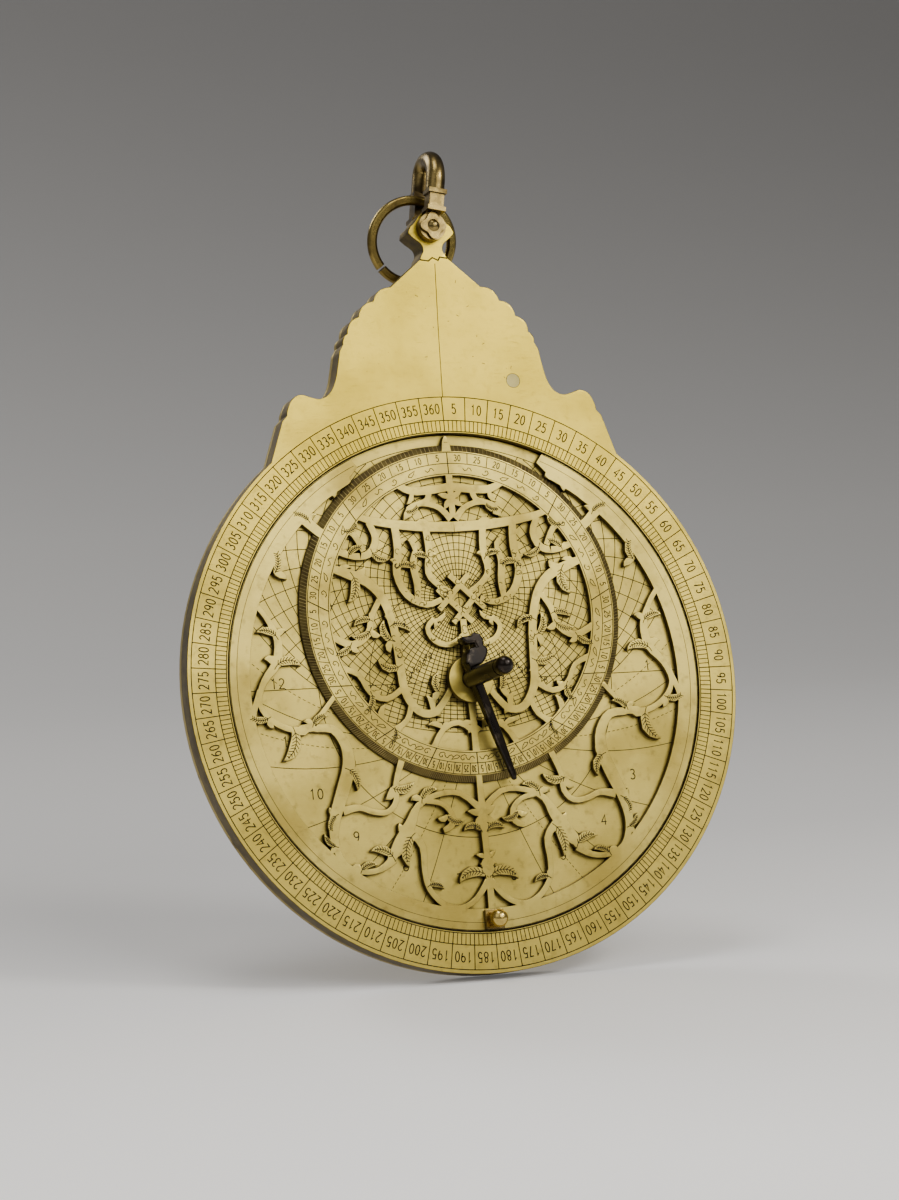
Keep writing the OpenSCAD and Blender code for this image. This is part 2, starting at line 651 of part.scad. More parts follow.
module wedge() color(steel) placed() rotate([0, -wedge_turn, 0]) {
    intersection() {
        translate([-wedge_t / 2, 0, 0]) rotate([90, 0, 90]) linear_extrude(wedge_t) polygon([
            [wedge_y, blade_top], [wedge_y - wedge_h, blade_top],
            [wedge_y - blade_h(wedge_l - 1.5), -wedge_l + 1.5], [wedge_y - wedge_tip_h * 0.6, -wedge_l],
            [wedge_y, -wedge_l]
        ]);
        slab(wedge_y - wedge_h, wedge_h) polygon([
            [-wedge_t / 2, blade_top], [-wedge_t / 2, -wedge_l * 0.6], [-wedge_t * 0.3, -wedge_l],
            [wedge_t * 0.3, -wedge_l], [wedge_t / 2, -wedge_l * 0.6], [wedge_t / 2, blade_top]
        ]);
    }
    slab(wedge_y - wedge_h, wedge_h) translate([0, pin_d / 2 + slot_gap]) scale(wedge_head / 14) polygon([
        [-1.2, 0], [3.4, 0], [5.6, 1.6], [6.6, 3.4], [5.9, 5], [6.5, 6.6], [6.1, 8.4], [4.6, 9.4],
        [3.3, 8.9], [0.6, 9.5], [0, 8.8], [1.3, 6.9], [3.3, 6.4], [3.4, 5.3], [1.4, 5.4], [-0.2, 4.4], [-1.4, 2.4]
    ]);
}

// Alidade: each arm has one edge on the line through the centre
module alidade_arm() {
    tip = alidade_l / 2;
    polygon([
        [0, 0], [tip, 0], [tip - 3, alidade_w * 0.34], [tip - 9, alidade_w * 0.62], [tip - 15, alidade_w],
        [boss_d / 2 + 5, alidade_w], [boss_d / 2, alidade_w * 0.86], [0, alidade_w * 0.86]
    ]);
    translate([sight_at - sight_foot / 2 - sight_t, -sight_w / 2])
        square([sight_foot + 2 * sight_t, sight_w / 2 + alidade_w]);
}

module rivet_spots() for (turn = [0, 180]) rotate(turn) for (s = [-1, 1])
    translate([sight_at, s * sight_w / 4]) circle(d = rivet_d);

module alidade_bar() color(brass) placed() slab(alidade_y, alidade_t) difference() {
    union() {
        alidade_arm();
        rotate(180) alidade_arm();
        circle(d = boss_d);
    }
    circle(pin_hole_r);
    rivet_spots();
}

// A sight: a foot on the bar and an upright plate with two pinholes
sight_y = alidade_y + alidade_t;
sight_foot_t = 1.2;
module sight_vane(turn) color(brass) placed() rotate([0, turn, 0]) {
    slab(sight_y, sight_foot_t) difference() {
        translate([sight_at - sight_foot / 2, -sight_w / 2]) square([sight_foot, sight_w]);
        for (s = [-1, 1]) translate([sight_at, s * sight_w / 4]) circle(d = rivet_d);
    }
    translate([sight_at + sight_foot / 2 - little, sight_y, 0]) rotate([90, 0, 90]) linear_extrude(sight_t) difference() {
        intersection() {
            translate([0, -sight_w / 2]) square([sight_h, sight_w]);
            translate([sight_h - sight_w / 2, 0]) union() {
                circle(d = sight_w);
                translate([-sight_h, -sight_w / 2]) square([sight_h, sight_w]);
            }
        }
        for (x = [sight_h * 0.42, sight_h * 0.78]) translate([x, 0]) circle(d = sight_hole_d, $fn = 24);
    }
}
module sight_vane_1() sight_vane(0);
module sight_vane_2() sight_vane(180);

module vane_rivets() color(old_brass) placed() slab(alidade_y, alidade_t + sight_foot_t) rivet_spots();

back_plate();
limb();
limb_pegs();
throne_plug();
throne_finial();
shackle_pin();
rosette_front();
rosette_back();
shackle();
suspension_ring();
climate_plate_1();
climate_plate_2();
climate_plate_3();
climate_plate_4();
rete();
turning_knob();
knob_collar();
centre_pin();
front_washer();
back_washer();
wedge();
alidade_bar();
sight_vane_1();
sight_vane_2();
vane_rivets();
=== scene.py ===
# %% [markdown]
# # A brass astrolabe
# An astrolabe is a flat brass model of the sky. A thick rim holds a stack of engraved plates,
# an openwork star map turns over them, and one pin with a wedge keeps it all together.
# The solids come finished from the frame. This lesson dresses them: brass with wear and dirt,
# engraved scales as fine inlaid lines, a studio and a camera.

# %% Load the frame
import json
import math
import random

import bpy
from mathutils import Matrix, Vector
from mathutils.bvhtree import BVHTree


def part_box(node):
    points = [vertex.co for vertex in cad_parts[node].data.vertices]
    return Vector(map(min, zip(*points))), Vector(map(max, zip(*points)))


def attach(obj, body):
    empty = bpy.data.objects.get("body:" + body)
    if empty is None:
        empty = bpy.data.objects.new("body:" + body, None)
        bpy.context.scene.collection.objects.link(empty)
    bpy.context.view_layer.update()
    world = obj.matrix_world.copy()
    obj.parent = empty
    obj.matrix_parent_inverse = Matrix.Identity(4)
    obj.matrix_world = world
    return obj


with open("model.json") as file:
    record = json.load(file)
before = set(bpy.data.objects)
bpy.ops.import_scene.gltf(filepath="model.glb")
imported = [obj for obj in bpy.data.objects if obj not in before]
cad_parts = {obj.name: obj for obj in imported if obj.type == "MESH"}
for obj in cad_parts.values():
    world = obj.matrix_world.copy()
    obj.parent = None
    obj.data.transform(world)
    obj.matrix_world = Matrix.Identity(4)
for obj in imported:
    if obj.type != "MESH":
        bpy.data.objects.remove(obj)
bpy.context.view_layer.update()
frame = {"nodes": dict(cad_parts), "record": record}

# %% [markdown]
# ## Where things are
# Every measure below is in millimetres from the middle of the disc, on the face of its rim,
# because that is how an engraver lays out the scales. One function turns such a point into the
# frame's metres. The disc's middle and radius are read from the boxes of the solids, so the
# engraving follows the frame.

# %% Measure the disc
MM = 0.001
rim_low, rim_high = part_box("limb")
DISC_R = (rim_high.x - rim_low.x) / 2 / MM
CENTRE = Vector(((rim_low.x + rim_high.x) / 2, rim_low.y, rim_low.z + DISC_R * MM))


def place(x, y, z):
    """A point in millimetres from the disc's middle, as a place in the frame."""
    return CENTRE + Vector((x, y, z)) * MM


def depth(node, side):
    """How far the front (0) or the back (1) of a node lies behind the rim's face, in millimetres."""
    return (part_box(node)[side].y - CENTRE.y) / MM


print("disc radius", round(DISC_R, 2), "mm, middle at", [round(c, 4) for c in CENTRE])

# %% [markdown]
# ## The camera
# The photographer stood to the left of the disc and a little below its middle, about a metre
# away, with a long lens. The disc leans back in the photograph and is upright here, so a camera
# that looked slightly down at the table looks slightly up at the disc.

# %% Set up the camera
CAMERA_AT = (-359.70, -900.61, -119.66)
CAMERA_RIGHT = (0.93076, -0.35207, -0.09871)
CAMERA_UP = (0.03927, -0.17213, 0.98429)
CAMERA_LENS = 100.64
CAMERA_SENSOR = 36
CAMERA_NEAREST = 0.01

right = Vector(CAMERA_RIGHT).normalized()
up = (Vector(CAMERA_UP) - right * right.dot(Vector(CAMERA_UP))).normalized()
turn = Matrix((right, up, right.cross(up))).transposed()
camera_data = bpy.data.cameras.new("camera")
camera_data.lens = CAMERA_LENS
camera_data.sensor_width = CAMERA_SENSOR
camera_data.clip_start = CAMERA_NEAREST
camera = bpy.data.objects.new("camera", camera_data)
camera.matrix_world = Matrix.Translation(place(*CAMERA_AT)) @ turn.to_4x4()
bpy.context.scene.collection.objects.link(camera)
bpy.context.scene.camera = camera
print("camera is", round((camera.location - CENTRE).length, 3), "m from the disc")

# %% [markdown]
# ## The studio
# The backdrop is one sheet of pale paper that runs under the astrolabe and curves up behind it,
# so no horizon shows. The disc leans back by about 16 degrees, so here the sheet tips instead.
# It could be a simple plane with a grey world behind it, but the curve carries the soft change
# from a light floor to a darker wall, which is painted shade in the paper's colour. Its back side
# lets light through, so that a view from behind isn't blocked.

# %% Lay the paper sweep
LEAN = math.radians(15.7)
FLOOR_UP = Vector((0, -math.sin(LEAN), math.cos(LEAN)))
FLOOR_BACK = Vector((0, math.cos(LEAN), math.sin(LEAN)))
FLOOR_AT = place(0, depth("back_plate", 1), -DISC_R)
SWEEP_HALF = 2.6
SWEEP_FRONT = -2.4
SWEEP_BACK = 0.55
SWEEP_BEND = 0.6
SWEEP_TOP = 2.2
BEND_STEPS = 16


def sweep_profile():
    """Distances back and up along the paper, from the front edge to the top."""
    line = [(SWEEP_FRONT, 0), (SWEEP_BACK, 0)]
    for i in range(1, BEND_STEPS + 1):
        a = math.pi / 2 * i / BEND_STEPS
        line.append((SWEEP_BACK + SWEEP_BEND * math.sin(a), SWEEP_BEND * (1 - math.cos(a))))
    line.append((SWEEP_BACK + SWEEP_BEND, SWEEP_TOP))
    return line


sweep_mesh = bpy.data.meshes.new("paper_sweep")
rows = [FLOOR_AT + FLOOR_BACK * b + FLOOR_UP * u for b, u in sweep_profile()]
points = [p + Vector((side * SWEEP_HALF, 0, 0)) for p in rows for side in (-1, 1)]
faces = [(2 * i, 2 * i + 1, 2 * i + 3, 2 * i + 2) for i in range(len(rows) - 1)]
sweep_mesh.from_pydata([tuple(p) for p in points], [], faces)
for face in sweep_mesh.polygons:
    face.use_smooth = True
sweep = bpy.data.objects.new("paper_sweep", sweep_mesh)
bpy.context.scene.collection.objects.link(sweep)
print("sweep of", len(faces), "strips")

# %% [markdown]
# ## A small kit for finishes
# Each finish is a graph of shader nodes. A few short helpers keep the graphs readable: one adds a
# node, one wires it, and one makes a soft step between two values. The patterns use object
# coordinates in metres, so a noise scale of 1000 gives spots about a millimetre wide.

# %% Helpers for shader nodes
def add(tree, kind, **values):
    """A node of this kind, with its plain settings made."""
    node = tree.nodes.new("ShaderNode" + kind)
    for name, value in values.items():
        setattr(node, name, value)
    return node


def wire(tree, source, socket):
    """Joins a socket to a socket, or sets a plain number or colour."""
    if isinstance(source, bpy.types.NodeSocket):
        tree.links.new(source, socket)
    else:
        socket.default_value = source


def spots(tree, scale, detail=4, stretch=(1, 1, 1), turned=(0, 0, 0), rough=0.55):
    """Cloudy noise. Stretched along one direction, it makes scratches."""
    coords = add(tree, "TexCoord")
    mapping = add(tree, "Mapping")
    mapping.inputs["Scale"].default_value = stretch
    mapping.inputs["Rotation"].default_value = [math.radians(a) for a in turned]
    tree.links.new(coords.outputs["Object"], mapping.inputs["Vector"])
    texture = add(tree, "TexNoise")
    texture.inputs["Scale"].default_value = scale
    texture.inputs["Detail"].default_value = detail
    texture.inputs["Roughness"].default_value = rough
    tree.links.new(mapping.outputs["Vector"], texture.inputs["Vector"])
    return texture.outputs["Fac"]


def step(tree, value, low, high, to_low=0.0, to_high=1.0):
    """A soft step: value at low gives to_low, value at high gives to_high."""
    node = add(tree, "MapRange", interpolation_type="SMOOTHSTEP")
    wire(tree, value, node.inputs["Value"])
    node.inputs["From Min"].default_value = low
    node.inputs["From Max"].default_value = high
    node.inputs["To Min"].default_value = to_low
    node.inputs["To Max"].default_value = to_high
    return node.outputs["Result"]


def sums(tree, operation, a, b):
    """Arithmetic on two values."""
    node = add(tree, "Math", operation=operation)
    wire(tree, a, node.inputs[0])
    wire(tree, b, node.inputs[1])
    return node.outputs[0]


def blend(tree, share, a, b):
    """Mixes two colours, or a socket with a colour."""
    node = add(tree, "Mix", data_type="RGBA")
    wire(tree, share, node.inputs["Factor"])
    for source, socket in ((a, node.inputs[6]), (b, node.inputs[7])):
        wire(tree, source if isinstance(source, bpy.types.NodeSocket) else (*source, 1), socket)
    return node.outputs[2]


def finish(name):
    """A new material with its node tree and its shader."""
    made = bpy.data.materials.new(name)
    made.use_nodes = True
    return made, made.node_tree, made.node_tree.nodes["Principled BSDF"]


# %% [markdown]
# ## Paper for the studio
# The sweep is a pale warm grey with painted shade, brightest in front of the astrolabe and darker
# up the wall. The tone follows the distance back along the floor in the object's own coordinates,
# so it stays put when the camera moves. Each stop of the ramp is one distance in metres with its
# grey. A faint painted glow of its own keeps the paper even between the lights.

# %% Colour the sweep
PAPER_FROM, PAPER_TO = -0.4, 1.4
# Painted shade: the greys darken from the floor in front to the top of the wall.
PAPER_SHADED_GREYS = ((-0.20, 0.88), (-0.12, 0.82), (0.05, 0.61), (0.20, 0.49), (0.53, 0.40), (0.80, 0.31),
               (0.95, 0.23), (1.09, 0.155), (1.25, 0.11))
WARM_GREEN, WARM_BLUE = 0.975, 0.95
# Painted glow: the paper shines faintly in its own tone.
PAPER_PAINTED_GLOW = 0.13


def paper():
    """Pale matt paper with painted shade up the wall and a painted glow, seen from its front side only."""
    made, tree, shader = finish("studio_paper")
    coords = add(tree, "TexCoord")
    distance = add(tree, "VectorMath", operation="DOT_PRODUCT")
    tree.links.new(coords.outputs["Object"], distance.inputs[0])
    distance.inputs[1].default_value = FLOOR_BACK
    behind = sums(tree, "SUBTRACT", distance.outputs["Value"], FLOOR_AT.dot(FLOOR_BACK))
    ramp = add(tree, "ValToRGB")
    length = PAPER_TO - PAPER_FROM
    wire(tree, sums(tree, "DIVIDE", sums(tree, "SUBTRACT", behind, PAPER_FROM), length), ramp.inputs["Fac"])
    stops = ramp.color_ramp.elements
    stops.remove(stops[1])
    for i, (where, grey) in enumerate(PAPER_SHADED_GREYS):
        share = (where - PAPER_FROM) / length
        stop = stops.new(share) if i else stops[0]
        stop.position = share
        stop.color = (grey, grey * WARM_GREEN, grey * WARM_BLUE, 1)
    # The ramp paints shade: paper grey, darker up the wall.
    tone = ramp.outputs["Color"]
    wire(tree, tone, shader.inputs["Base Color"])
    shader.inputs["Roughness"].default_value = 0.95
    shader.inputs["Specular IOR Level"].default_value = 0.1
    # Painted glow in the paper's own tone.
    wire(tree, tone, shader.inputs["Emission Color"])
    shader.inputs["Emission Strength"].default_value = PAPER_PAINTED_GLOW
    clear = add(tree, "BsdfTransparent")
    side = add(tree, "NewGeometry")
    switch = add(tree, "MixShader")
    tree.links.new(side.outputs["Backfacing"], switch.inputs[0])
    tree.links.new(shader.outputs[0], switch.inputs[1])
    tree.links.new(clear.outputs[0], switch.inputs[2])
    tree.links.new(switch.outputs[0], tree.nodes["Material Output"].inputs["Surface"])
    return made


sweep_mesh.materials.append(paper())

# %% [markdown]
# ## Lights
# Polished brass shows what it mirrors, so the key light stands at the right front, close to the
# place that the face of the disc mirrors towards the camera. That gives the metal its yellow. A
# smaller light, high at the right, throws the short shadows of the star map on the plate. A wide,
# weak one at the left keeps them open. One behind and one above draw bright lines on the ring and
# on the edges. A grey world fills in the rest.

# %% Place the lights
def lamp(name, at, size, power, tint=(1, 1, 1)):
    """A soft square light that looks at the disc."""
    data = bpy.data.lights.new(name, "AREA")
    data.shape = "SQUARE"
    data.size = size
    data.energy = power
    data.color = tint
    made = bpy.data.objects.new(name, data)
    made.location = place(*at)
    aim = CENTRE - made.location
    made.rotation_mode = "QUATERNION"
    made.rotation_quaternion = aim.to_track_quat("-Z", "Y")
    bpy.context.scene.collection.objects.link(made)


lamp("key_light", (330, -960, 430), 0.75, 6.0, (1.0, 0.98, 0.93))
lamp("shadow_light", (800, -850, 700), 0.35, 7, (1.0, 0.98, 0.93))
lamp("fill_light", (-900, -900, 700), 1.0, 2.5, (0.97, 0.98, 1.0))
lamp("edge_light", (-500, 700, 900), 0.5, 6)
lamp("top_light", (-150, -350, 1250), 0.45, 6)

AIR_GREY = 0.80
AIR_STRENGTH = 0.27
world = bpy.data.worlds.new("studio_air")
world.use_nodes = True
air = world.node_tree.nodes["Background"]
air.inputs["Color"].default_value = (AIR_GREY, AIR_GREY, AIR_GREY, 1)
air.inputs["Strength"].default_value = AIR_STRENGTH
bpy.context.scene.world = world

# %% [markdown]
# ## Old brass
# Old polished brass isn't one colour. The face is pale yellow, cloudy in tone, with hair-fine
# scratches in all directions. Cut edges keep a brown patina, darkened further with painted shade,
# and painted shade darkens the corners where two pieces meet. A photo texture could give this, but
# nodes keep it sharp at any distance. Walls are told from faces by the object's own normal, and the
# shaded corners by ambient occlusion. The throne's brass turns a little darker and more golden with
# height.

# %% Brew the brass finishes
PALE = (0.55, 0.42, 0.084)
OLIVE = (0.41, 0.31, 0.056)
BROWN = (0.05, 0.034, 0.012)
GOLDEN = (0.50, 0.36, 0.022)
SCRATCHED = (0.80, 0.64, 0.20)
# Painted shade: the dark colour that ambient occlusion lays into corners.
CORNER_SHADE = (0.035, 0.02, 0.008)
THRONE_FROM, THRONE_TO = -0.15, -0.06


def scratches(tree, amount):
    """Hair-fine scratches in four directions, as heights."""
    total = None
    for i, angle in enumerate((12, 57, 103, 151)):
        line = spots(tree, 190 + 40 * i, 3, (1, 1, 26), (0, angle, 0), 0.7)
        hair = step(tree, line, 0.60, 0.72)
        total = hair if total is None else sums(tree, "ADD", total, hair)
    return sums(tree, "MULTIPLY", total, amount)


def wall_mask(tree):
    """1 on cut edges and slopes, where patina and painted shade go, 0 on the flat front and back."""
    coords = add(tree, "TexCoord")
    parts = add(tree, "SeparateXYZ")
    tree.links.new(coords.outputs["Normal"], parts.inputs[0])
    facing = sums(tree, "ABSOLUTE", parts.outputs["Y"], 0)
    return step(tree, facing, 0.97, 0.90)


def golden_tone(tree, tone, share):
    """Blends in a golden tone with the height on the throne."""
    coords = add(tree, "TexCoord")
    parts = add(tree, "SeparateXYZ")
    tree.links.new(coords.outputs["Object"], parts.inputs[0])
    upper = step(tree, parts.outputs["Z"], THRONE_FROM, THRONE_TO, 0, share)
    return blend(tree, upper, tone, GOLDEN)


def brass(name, face, cloud, wall, rough=0.34, hair=1.0, flat=True, reach=1.2, patina=0.5,
          grain=0.0, golden=0.0):
    """Brass with cloudy tone, scratches, patina and painted shade on its edges, and painted shade in its
    corners.

    Colours: face and cloud mix in big clouds, and wall lies as patina, and on cut edges as patina and
    painted shade. hair sets the scratches, reach the millimetres that painted shade spreads out of a
    corner, and grain the pitting.
    """
    made, tree, shader = finish(name)
    big = spots(tree, 42, 5)
    small = spots(tree, 420)
    tone = blend(tree, step(tree, big, 0.35, 0.68), face, cloud)
    tone = blend(tree, step(tree, small, 0.52, 0.78, 0, 0.35), tone, wall)
    lines = scratches(tree, hair)
    tone = blend(tree, sums(tree, "MULTIPLY", lines, 0.08), tone, SCRATCHED)
    if golden:
        tone = golden_tone(tree, tone, golden)
    roughness = step(tree, big, 0.3, 0.7, rough - 0.05, rough + 0.07)
    if flat:
        # Patina and painted shade: cut edges and slopes take the dark wall colour.
        edge = wall_mask(tree)
        worn = step(tree, spots(tree, 300), 0.35, 0.65, 0.88, 1.0)
        tone = blend(tree, sums(tree, "MULTIPLY", edge, worn), tone, wall)
        roughness = sums(tree, "ADD", roughness, sums(tree, "MULTIPLY", edge, 0.12))
    else:
        coat = step(tree, spots(tree, 160, 6, rough=0.65), 0.62 - patina * 0.3, 0.72)
        tone = blend(tree, coat, tone, wall)
        roughness = sums(tree, "ADD", roughness, sums(tree, "MULTIPLY", coat, 0.1))
    # Painted shade: ambient occlusion darkens the colour in corners and where pieces meet.
    corner = add(tree, "AmbientOcclusion", samples=6)
    corner.inputs["Distance"].default_value = reach * MM
    corner_shade = step(tree, corner.outputs["AO"], 0.78, 0.30)
    tone = blend(tree, corner_shade, tone, CORNER_SHADE)
    roughness = sums(tree, "ADD", roughness, sums(tree, "MULTIPLY", corner_shade, 0.25))
    wire(tree, tone, shader.inputs["Base Color"])
    wire(tree, roughness, shader.inputs["Roughness"])
    shader.inputs["Metallic"].default_value = 1.0
    bump = add(tree, "Bump")
    bump.inputs["Strength"].default_value = 0.5
    bump.inputs["Distance"].default_value = 0.00002
    height = sums(tree, "ADD", lines, sums(tree, "MULTIPLY", small, 0.5 + grain))
    wire(tree, height, bump.inputs["Height"])
    tree.links.new(bump.outputs["Normal"], shader.inputs["Normal"])
    return made


FINISHES = {
    "face_brass": brass("face_brass", PALE, OLIVE, (0.085, 0.06, 0.02), reach=2.0, golden=0.65),
    "rete_brass": brass("rete_brass", (0.55, 0.43, 0.108), (0.33, 0.245, 0.05), (0.065, 0.046, 0.017),
                        rough=0.33),
    "plate_brass": brass("plate_brass", (0.53, 0.41, 0.10), (0.38, 0.29, 0.062), BROWN, rough=0.36),
    "old_brass": brass("old_brass", (0.44, 0.335, 0.095), (0.31, 0.23, 0.06), (0.12, 0.085, 0.03),
                       flat=False, rough=0.40, patina=0.25),
    "cast_brass": brass("cast_brass", (0.33, 0.24, 0.08), (0.15, 0.105, 0.035), (0.03, 0.02, 0.008),
                        flat=False, rough=0.24, hair=0.6, grain=2.0, patina=0.75),
    "ring_brass": brass("ring_brass", (0.42, 0.32, 0.09), (0.24, 0.17, 0.045), (0.07, 0.045, 0.014),
                        flat=False, rough=0.22, hair=0.5, patina=0.6),
    "knob_brass": brass("knob_brass", (0.60, 0.44, 0.12), (0.42, 0.29, 0.07), BROWN,
                        flat=False, rough=0.26, hair=0.4, patina=0.3),
    "peg_brass": brass("peg_brass", (0.42, 0.36, 0.15), (0.30, 0.25, 0.09), BROWN, rough=0.45),
}
print("finishes:", sorted(FINISHES))

# %% [markdown]
# ## Dark steel
# The centre pin and its wedge are the darkest pieces: iron gone brown-black with age and rubbed
# smoother in patches. Those patches are lighter and less rough, and a thin coat, like old wax,
# gives small bright spots.

# %% Forge the dark steel
def dark_steel():
    """Brown-black iron, rubbed bright in patches."""
    made, tree, shader = finish("dark_steel")
    worn = step(tree, spots(tree, 160, 4, rough=0.6), 0.50, 0.66)
    rust = step(tree, spots(tree, 90), 0.45, 0.7)
    tone = blend(tree, worn, (0.009, 0.006, 0.004), (0.10, 0.078, 0.052))
    tone = blend(tree, sums(tree, "MULTIPLY", rust, 0.4), tone, (0.036, 0.022, 0.010))
    wire(tree, tone, shader.inputs["Base Color"])
    wire(tree, step(tree, worn, 0, 1, 0.28, 0.16), shader.inputs["Roughness"])
    shader.inputs["Metallic"].default_value = 0.85
    shader.inputs["Coat Weight"].default_value = 0.15
    shader.inputs["Coat Roughness"].default_value = 0.1
    bump = add(tree, "Bump")
    bump.inputs["Strength"].default_value = 0.15
    bump.inputs["Distance"].default_value = 0.00004
    wire(tree, spots(tree, 700), bump.inputs["Height"])
    tree.links.new(bump.outputs["Normal"], shader.inputs["Normal"])
    return made


FINISHES["dark_steel"] = dark_steel()

# %% [markdown]
# ## Dress the solids
# The record already says which slot each piece is made of, so a loop hands out the finishes. The
# solids arrive with knife-sharp edges. Real edges are broken by a file and by hands, so a Weld
# modifier closes the split corners and a Bevel modifier rounds them. The solid itself stays as
# it is. The table gives each piece its width in millimetres, its steps, and the angle in degrees
# from which an edge counts as sharp. It is lower for the star map, whose ring has a flat bevel.

# %% Hand out finishes and soften edges
WELD_REACH = 0.000001


def soften(node, width, segments, angle):
    """Rounds a solid's edges by width millimetres where they turn by more than angle degrees."""
    weld = node.modifiers.new("close_corners", "WELD")
    weld.merge_threshold = WELD_REACH
    bevel = node.modifiers.new("broken_edges", "BEVEL")
    bevel.width = width * MM
    bevel.segments = segments
    bevel.limit_method = "ANGLE"
    bevel.angle_limit = math.radians(angle)
    bevel.use_clamp_overlap = False
    bevel.harden_normals = False
    normals = node.modifiers.new("even_shading", "WEIGHTED_NORMAL")
    normals.keep_sharp = False


SOFT_EDGES = {
    "limb": (0.16, 2, 35), "back_plate": (0.16, 2, 35), "throne_finial": (0.18, 2, 35),
    "rete": (0.1, 2, 20), "alidade_bar": (0.15, 2, 35), "sight_vane_1": (0.12, 2, 35),
    "sight_vane_2": (0.12, 2, 35), "wedge": (0.7, 4, 35), "front_washer": (0.15, 2, 35),
    "back_washer": (0.12, 2, 35), "knob_collar": (0.12, 2, 35),
}
for part in frame["record"]["subparts"]:
    node = frame["nodes"][part["node"]]
    node.data.materials.clear()
    node.data.materials.append(FINISHES[part["material_slot"]])
    if part["node"] in SOFT_EDGES:
        soften(node, *SOFT_EDGES[part["node"]])
print("softened:", sorted(SOFT_EDGES))

# %% [markdown]
# ## Engraving
# The maker cut every scale with a burin and the grooves filled with dark wax and dirt. A bump
# texture could hint at them, but hundreds of exact lines are clearer as geometry. Each line is a
# thin closed strip laid into the surface, standing proud by a hundredth of a millimetre. A line
# is a list of points in the disc's own plane with a width, in millimetres, so all scales are
# worked out with plain circle sums. The filling is dark, or fainter where hands have rubbed it,
# or bright where the strokes cross a dark bevel. The same strips also draw painted shade: two dark
# lines along the gap between the rim and the star map.

# %% The line layer
LINE_PROUD = 0.012
LINE_SUNK = 0.02
CIRCLE_PARTS = 240
MITRE_LEAST = 0.5
LEAST = 1e-6


def strip_sides(points, half, closed):
    """Left and right edge points of a strip with mitred corners."""
    left, right = [], []
    last = len(points) - 1
    for i, p in enumerate(points):
        before = points[i - 1] if i or closed else p
        after = points[(i + 1) % len(points)] if i < last or closed else p
        a, b = (p - before).normalized(), (after - p).normalized()
        a, b = a if a.length else b, b if b.length else a
        along = (a + b).normalized() if (a + b).length > LEAST else b
        side = Vector((-along.y, along.x))
        grow = half / max(MITRE_LEAST, side.dot(Vector((-b.y, b.x))))
        left.append(p + side * grow)
        right.append(p - side * grow)
    return left, right


def engrave(name, body, y, lines, back=False, ink="engraving", slope=None):
    """One mesh from many lines. A line is (points, width, closed), in the plane at depth y.

    slope gives the extra depth of a point where the surface falls away.
    """
    out = 1 if back else -1
    verts, faces = [], []
    for points, width, closed in lines:
        points = [Vector(p) for p in points]
        start = len(verts)
        for a, b in zip(*strip_sides(points, width / 2, closed)):
            for p, lift in ((a, LINE_PROUD), (b, LINE_PROUD), (b, -LINE_SUNK), (a, -LINE_SUNK)):
                verts.append(place(p.x, y + out * lift + (slope(p) if slope else 0), p.y))
        count = len(points)
        spans = count if closed else count - 1
        for i in range(spans):
            here, there = start + 4 * i, start + 4 * ((i + 1) % count)
            faces += [[here + k, here + (k + 1) % 4, there + (k + 1) % 4, there + k] for k in range(4)]
        if not closed:
            end = start + 4 * (count - 1)
            faces += [[start + 3, start + 2, start + 1, start], [end, end + 1, end + 2, end + 3]]
    mesh = bpy.data.meshes.new(name)
    mesh.from_pydata([tuple(v) for v in verts], [], faces)
    if not back:
        mesh.flip_normals()
    mesh.materials.append(INKS[ink])
    made = bpy.data.objects.new(name, mesh)
    bpy.context.scene.collection.objects.link(made)
    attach(made, body)
    print(f"{name}: {len(lines)} lines, {len(faces)} faces")


def circle(r, width, at=(0, 0)):
    """A full circle."""
    turns = [i * (2 * math.pi / CIRCLE_PARTS) for i in range(CIRCLE_PARTS)]
    return [(at[0] + r * math.sin(a), at[1] + r * math.cos(a)) for a in turns], width, True


def spoke(degrees, r_in, r_out, width):
    """A straight line away from the disc's middle, clockwise from the top."""
    a = math.radians(degrees)
    return [(r * math.sin(a), r * math.cos(a)) for r in (r_in, r_out)], width, False


def inks():
    """The filling of the grooves: dark, faint, and bright."""
    made = {}
    for name, dark, light in (("engraving", (0.012, 0.009, 0.004), (0.05, 0.036, 0.014)),
                              ("bright_engraving", (0.16, 0.12, 0.035), (0.42, 0.32, 0.10)),
                              ("faint_engraving", (0.03, 0.022, 0.009), (0.13, 0.10, 0.035))):
        material, tree, shader = finish(name)
        wear = step(tree, spots(tree, 260), 0.45, 0.75)
        wire(tree, blend(tree, wear, dark, light), shader.inputs["Base Color"])
        shader.inputs["Roughness"].default_value = 0.8
        shader.inputs["Specular IOR Level"].default_value = 0.15
        made[name] = material
    return made


INKS = inks()

# %% [markdown]
# ## Numerals from strokes
# The scales carry plain numbers. A font file would bring filled letters, but a burin draws
# strokes, so each numeral is a few short strokes on a small grid, one unit high. One function
# sets a number on a circle with its foot towards the middle.

# %% Cut the numerals
def bow(x, z, rx, rz, start, end, parts=10):
    """An arc of an oval from one angle to another, in degrees from the right, anticlockwise."""
    turns = [math.radians(start + (end - start) * i / parts) for i in range(parts + 1)]
    return [(x + rx * math.cos(a), z + rz * math.sin(a)) for a in turns]


